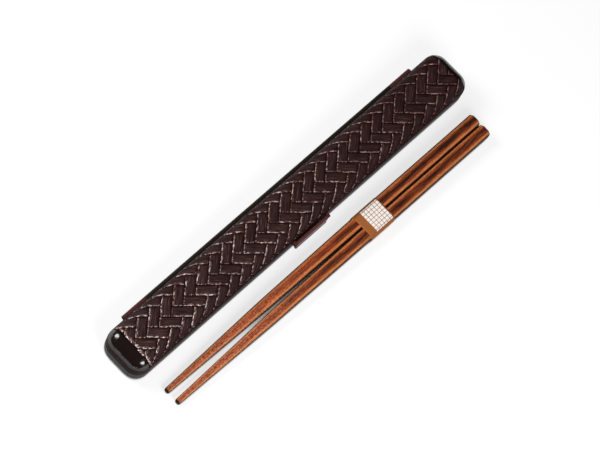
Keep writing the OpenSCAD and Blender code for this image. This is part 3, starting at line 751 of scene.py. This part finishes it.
# Kraft paper, uncoated and block printed: matt, warm brown with faint fibres, and a pale panel with a plain lattice
def kraftPaper(name, b):
    material, tree, shader = newMaterial(name)
    place = add(tree, "ShaderNodeUVMap", uv_map="surface").outputs["UV"]
    fibre = add(tree, "ShaderNodeTexNoise", {"Vector": place, "Scale": b["fibre"], "Detail": 5.0,
                                             "Roughness": 0.7}).outputs["Fac"]
    darker, lighter = (linear(colour) for colour in b["kraft"])
    kraft = add(tree, "ShaderNodeMix", {"Factor": fibre, "A": darker, "B": lighter}, data_type="RGBA")
    middle = -b["fromButt"] + b["width"] / 2 - b["panelFromEdge"] - b["panelLength"] / 2
    local = add(tree, "ShaderNodeMapping", {"Vector": place, "Location": (-middle, 0, 0)}).outputs["Vector"]
    lattice = add(tree, "ShaderNodeTexBrick", {
        "Vector": local, "Color1": (1, 1, 1, 1), "Color2": (1, 1, 1, 1), "Mortar": (0, 0, 0, 1), "Scale": 1.0,
        "Mortar Size": b["line"], "Mortar Smooth": 0.1, "Brick Width": b["cellLength"],
        "Row Height": b["cellWidth"]}, offset=0.0)
    axes = add(tree, "ShaderNodeSeparateXYZ", {"Vector": local})
    inked = lattice.outputs["Color"]
    for axis, size in (("X", b["panelLength"]), ("Y", b["panelWidth"])):
        away = add(tree, "ShaderNodeMath", {0: axes.outputs[axis]}, operation="ABSOLUTE")
        rough = add(tree, "ShaderNodeMath", {0: fibre, 1: b["raggedPrint"], 2: away.outputs["Value"]},
                    operation="MULTIPLY_ADD")
        inside = add(tree, "ShaderNodeMath", {0: rough.outputs["Value"], 1: (size + b["raggedPrint"]) / 2},
                     operation="LESS_THAN")
        inked = add(tree, "ShaderNodeMath", {0: inked, 1: inside.outputs["Value"]},
                    operation="MULTIPLY").outputs["Value"]
    colour = add(tree, "ShaderNodeMix", {"Factor": inked, "A": kraft.outputs["Result"], "B": linear(b["print"])},
                 data_type="RGBA")
    tooth = add(tree, "ShaderNodeBump", {"Height": fibre, "Strength": b["toothStrength"],
                                         "Distance": b["toothHeight"] * mm})
    tree.links.new(colour.outputs["Result"], shader.inputs["Base Color"])
    tree.links.new(tooth.outputs["Normal"], shader.inputs["Normal"])
    shader.inputs["Roughness"].default_value = b["roughness"]
    return material


paper = makeBand(band)
finishPiece(paper, "bundle", "band_paper", kraftPaper("kraftPaperBlockPrinted", band), "paper_band")
print("paper band made")

# Floor, lights and world
studio = {
    "floorSize": 6.0,  # m
    "floorZ": -0.05,  # mm, just under the object
    "floorColour": "#939393",
    "floorRoughness": 0.9,
    "floorGlow": 0.75,  # lifts the floor to white where the camera, gloss or glass sees it
    "contact": 2.2,  # reach of the shade in narrow gaps over the floor, mm
    "openSky": (0.4, 0.62),  # the glow is out below the first share of open sky within that reach, full at the second
    "worldLevel": 0.1,
    "boxes": [  # direction to the light, distance and size in m, power
        ((-0.28, 0.7, 0.655), 0.55, 0.3, 2.45),
        ((-0.32, -0.72, 0.615), 0.55, 0.3, 2.45),
    ],
}


def makeStudio(s, grid=9):
    half = s["floorSize"] / 2 / mm
    x, y = np.meshgrid(*[np.linspace(-half, half, grid)] * 2, indexing="ij")
    points = np.stack([x, y, np.full_like(x, s["floorZ"])], axis=-1).reshape(-1, 3)
    floor = makeMesh("floor", points, gridFaces(grid, grid)[:, ::-1])
    material, tree, shader = newMaterial("paperSweepMatt")
    shader.inputs["Base Color"].default_value = linear(s["floorColour"])
    shader.inputs["Roughness"].default_value = s["floorRoughness"]
    path = add(tree, "ShaderNodeLightPath")
    seen = add(tree, "ShaderNodeMath", {0: path.outputs["Is Camera Ray"], 1: path.outputs["Is Glossy Ray"]},
               operation="MAXIMUM")
    seen = add(tree, "ShaderNodeMath", {0: seen.outputs["Value"], 1: path.outputs["Is Transmission Ray"]},
               operation="MAXIMUM")
    sky = add(tree, "ShaderNodeAmbientOcclusion", {"Distance": s["contact"] * mm})
    # beside one wall half of the sky is open; between two walls it is less, and there the glow goes out
    shut, clear = s["openSky"]
    level = add(tree, "ShaderNodeMapRange", {"Value": sky.outputs["AO"], "From Min": shut, "From Max": clear,
                                             "To Max": s["floorGlow"]})
    glow = add(tree, "ShaderNodeMath", {0: seen.outputs["Value"], 1: level.outputs["Result"]}, operation="MULTIPLY")
    shader.inputs["Emission Color"].default_value = (1, 1, 1, 1)
    tree.links.new(glow.outputs["Value"], shader.inputs["Emission Strength"])
    floor.data.materials.append(material)
    for k, (direction, distance, size, power) in enumerate(s["boxes"]):
        data = bpy.data.lights.new(f"softbox{k}", "AREA")
        data.shape, data.size, data.energy = "DISK", size, power
        lamp = bpy.data.objects.new(f"softbox{k}", data)
        way = Vector(direction).normalized()
        lamp.matrix_world = way.to_track_quat("Z", "Y").to_matrix().to_4x4()
        lamp.matrix_world.translation = way * distance
        bpy.context.scene.collection.objects.link(lamp)
    world = bpy.data.worlds.new("studio")
    world.use_nodes = True
    back = world.node_tree.nodes["Background"]
    back.inputs["Color"].default_value = (1, 1, 1, 1)
    back.inputs["Strength"].default_value = s["worldLevel"]
    bpy.context.scene.world = world


makeStudio(studio)
bpy.context.scene.view_settings.view_transform = "Standard"
print("studio lit")
